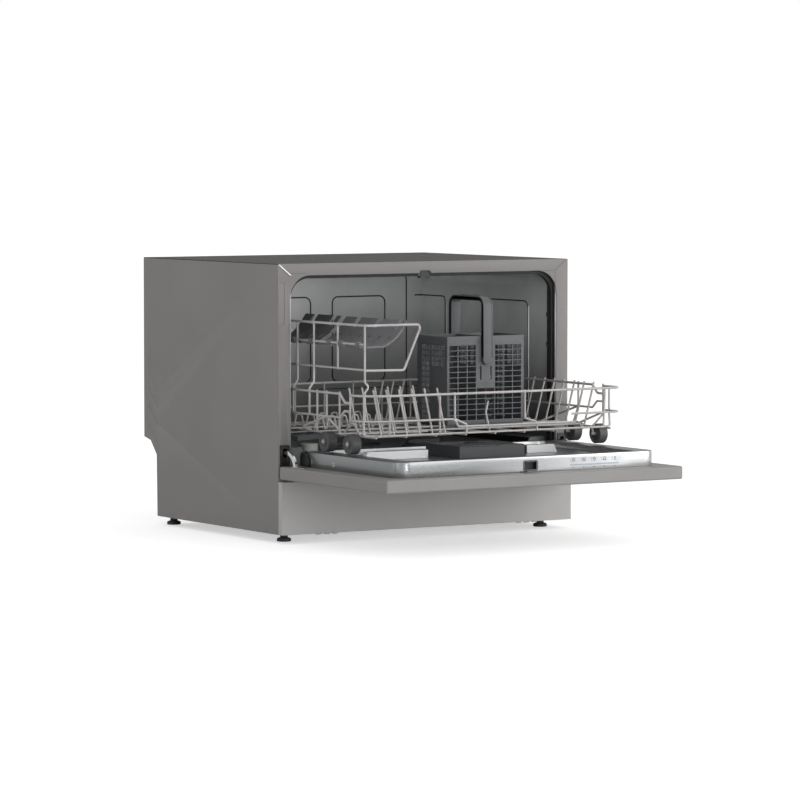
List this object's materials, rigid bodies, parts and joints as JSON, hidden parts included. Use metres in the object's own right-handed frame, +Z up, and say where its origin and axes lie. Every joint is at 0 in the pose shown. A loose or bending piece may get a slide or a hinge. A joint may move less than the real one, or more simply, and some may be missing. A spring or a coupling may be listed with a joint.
{
  "type": "countertop dishwasher",
  "caption": "Compact dishwasher with a drop-down door, a wheeled wire dish basket rolled out over it, folding cup shelves and a cutlery basket.",
  "frame": {"origin": "On the floor under the middle of the whole object with its door open.", "axes": "+Z up, the front faces -Y, +X is to the right seen from the front."},
  "size_m": [0.551, 0.7724, 0.443],
  "materials": {
    "painted_side": "satin grey paint",
    "painted_top": "satin grey paint",
    "painted_front": "satin silver-grey paint",
    "painted_plinth": "satin silver-grey paint",
    "galvanised": "galvanised sheet",
    "foot_plastic": "moulded",
    "tub_steel": "bright stainless sheet",
    "seal_rubber": "extruded rubber",
    "hinge_plastic": "moulded black",
    "hinge_chrome": "bright plated steel",
    "sump_plastic": "moulded dark grey",
    "pale_plastic": "moulded pale grey",
    "latch_plastic": "moulded black",
    "arm_plastic": "moulded grey",
    "door_steel": "bright stainless sheet",
    "dam_steel": "bright stainless sheet",
    "dispenser_plastic": "moulded dark grey",
    "window_plastic": "clear bluish light guide",
    "button_plastic": "moulded silver-grey",
    "axle_steel": "plain steel rod",
    "coated_wire": "grey nylon coating over steel wire",
    "wheel_plastic": "moulded dark grey",
    "shelf_plastic": "moulded dark grey",
    "cutlery_plastic": "moulded grey"
  },
  "bodies": {
    "cabinet": {"left_side_panel": "painted_side", "right_side_panel": "painted_side", "top_panel": "painted_top", "back_panel": "painted_side", "base_tray": "galvanised", "plinth": "painted_plinth", "front_frame": "painted_front", "feet": "foot_plastic", "tub_left_wall": "tub_steel", "tub_right_wall": "tub_steel", "tub_ceiling": "tub_steel", "tub_back_wall": "tub_steel", "tub_floor": "tub_steel", "door_seal": "seal_rubber", "hinge_mount_left": "hinge_plastic", "hinge_mount_right": "hinge_plastic", "sump": "sump_plastic", "softener": "pale_plastic", "wash_pump": "sump_plastic", "drain_pump": "sump_plastic", "inlet_valve": "pale_plastic", "drain_outlet": "sump_plastic", "control_box": "sump_plastic"},
    "latch": {"latch_hook": "latch_plastic"},
    "filter": {"filter_cup": "sump_plastic"},
    "salt_lid": {"salt_cap": "sump_plastic"},
    "float": {"float_cup": "pale_plastic"},
    "spray": {"spray_arm": "arm_plastic"},
    "door": {"door_outer_panel": "painted_front", "door_inner_panel": "door_steel", "door_dams": "dam_steel", "dispenser_body": "dispenser_plastic", "door_catch": "latch_plastic", "hinge_lever_left": "hinge_chrome", "hinge_lever_right": "hinge_chrome", "indicator_window": "window_plastic"},
    "dispenser_flap": {"dispenser_lid": "dispenser_plastic"},
    "rinse_lid": {"rinse_cap": "dispenser_plastic"},
    "start_button": {"button_1": "button_plastic"},
    "programme_button": {"button_2": "button_plastic"},
    "delay_button": {"button_3": "button_plastic"},
    "half_load_button": {"button_4": "button_plastic"},
    "power_button": {"button_5": "button_plastic"},
    "rear_rollers": {"rear_axle": "axle_steel", "rear_wheel_left": "wheel_plastic", "rear_wheel_right": "wheel_plastic"},
    "basket": {"basket_floor": "coated_wire", "basket_front": "coated_wire", "basket_back": "coated_wire", "basket_left": "coated_wire", "basket_right": "coated_wire", "cup_cage": "coated_wire", "plate_tines": "coated_wire"},
    "front_left_wheel": {"wheel_front_left": "wheel_plastic"},
    "front_right_wheel": {"wheel_front_right": "wheel_plastic"},
    "mid_left_wheel": {"wheel_mid_left": "wheel_plastic"},
    "mid_right_wheel": {"wheel_mid_right": "wheel_plastic"},
    "rear_shelf": {"cup_shelf_rear": "shelf_plastic"},
    "front_shelf": {"cup_shelf_front": "shelf_plastic"},
    "cutlery": {"cutlery_basket": "cutlery_plastic"}
  },
  "joints": [
    {"name": "door_hinge", "type": "hinge", "parent": "cabinet", "child": "door", "pos_m": [0, -0.06685, 0.118], "axis": [-1, 0, 0], "range_deg": [0, 90]},
    {"name": "roller_link", "type": "hinge", "parent": "door", "child": "rear_rollers", "pos_m": [0, -0.09713, 0.30322], "axis": [-1, 0, 0], "range_deg": [-135, 0]},
    {"name": "basket_link", "type": "hinge", "parent": "rear_rollers", "child": "basket", "pos_m": [0, 0.06515, 0.166], "axis": [-1, 0, 0], "range_deg": [0, 45]},
    {"name": "latch_slide", "type": "slide", "parent": "cabinet", "child": "latch", "axis": [0, 0, -1], "range_m": [0, 0.007], "stiffness_N_per_m": 300},
    {"name": "filter_turn", "type": "hinge", "parent": "cabinet", "child": "filter", "pos_m": [0.07, 0.06115, 0.12], "axis": [0, 0, 1], "range_deg": [0, 90]},
    {"name": "salt_cap_turn", "type": "hinge", "parent": "cabinet", "child": "salt_lid", "pos_m": [-0.095, 0.06115, 0.13], "axis": [0, 0, 1], "range_deg": [0, 90]},
    {"name": "float_rise", "type": "slide", "parent": "cabinet", "child": "float", "axis": [0, 0, 1], "range_m": [0, 0.006]},
    {"name": "spray_spin", "type": "hinge", "parent": "cabinet", "child": "spray", "pos_m": [0, 0.15615, 0.155], "axis": [0, 0, 1], "continuous": true},
    {"name": "dispenser_lid_slide", "type": "slide", "parent": "door", "child": "dispenser_flap", "axis": [0, 1, 0], "range_m": [0, 0.044]},
    {"name": "rinse_cap_turn", "type": "hinge", "parent": "door", "child": "rinse_lid", "pos_m": [0.04, -0.17885, 0.15], "axis": [0, 0, 1], "range_deg": [0, 90]},
    {"name": "start_button_press", "type": "slide", "parent": "door", "child": "start_button", "axis": [0, 1, 0], "range_m": [0, 0.0012], "stiffness_N_per_m": 400},
    {"name": "programme_button_press", "type": "slide", "parent": "door", "child": "programme_button", "axis": [0, 1, 0], "range_m": [0, 0.0012], "stiffness_N_per_m": 400},
    {"name": "delay_button_press", "type": "slide", "parent": "door", "child": "delay_button", "axis": [0, 1, 0], "range_m": [0, 0.0012], "stiffness_N_per_m": 400},
    {"name": "half_load_button_press", "type": "slide", "parent": "door", "child": "half_load_button", "axis": [0, 1, 0], "range_m": [0, 0.0012], "stiffness_N_per_m": 400},
    {"name": "power_button_press", "type": "slide", "parent": "door", "child": "power_button", "axis": [0, 1, 0], "range_m": [0, 0.0012], "stiffness_N_per_m": 400},
    {"name": "front_left_wheel_spin", "type": "hinge", "parent": "basket", "child": "front_left_wheel", "pos_m": [-0.232, -0.21285, 0.166], "axis": [1, 0, 0], "continuous": true},
    {"name": "front_right_wheel_spin", "type": "hinge", "parent": "basket", "child": "front_right_wheel", "pos_m": [0.232, -0.21285, 0.166], "axis": [1, 0, 0], "continuous": true},
    {"name": "mid_left_wheel_spin", "type": "hinge", "parent": "basket", "child": "mid_left_wheel", "pos_m": [-0.232, -0.13985, 0.166], "axis": [1, 0, 0], "continuous": true},
    {"name": "mid_right_wheel_spin", "type": "hinge", "parent": "basket", "child": "mid_right_wheel", "pos_m": [0.232, -0.13985, 0.166], "axis": [1, 0, 0], "continuous": true},
    {"name": "rear_shelf_fold", "type": "hinge", "parent": "basket", "child": "rear_shelf", "pos_m": [-0.229, 0.02115, 0.322], "axis": [0, -1, 0], "range_deg": [0, 65]},
    {"name": "front_shelf_fold", "type": "hinge", "parent": "basket", "child": "front_shelf", "pos_m": [-0.229, -0.10885, 0.322], "axis": [0, -1, 0], "range_deg": [0, 65]},
    {"name": "cutlery_lift", "type": "slide", "parent": "basket", "child": "cutlery", "axis": [0, 0, 1], "range_m": [0, 0.028]}
  ],
  "couplings": [
    {"joint": "roller_link", "follows": "door_hinge", "ratio": -1.5},
    {"joint": "basket_link", "follows": "door_hinge", "ratio": 0.5}
  ]
}
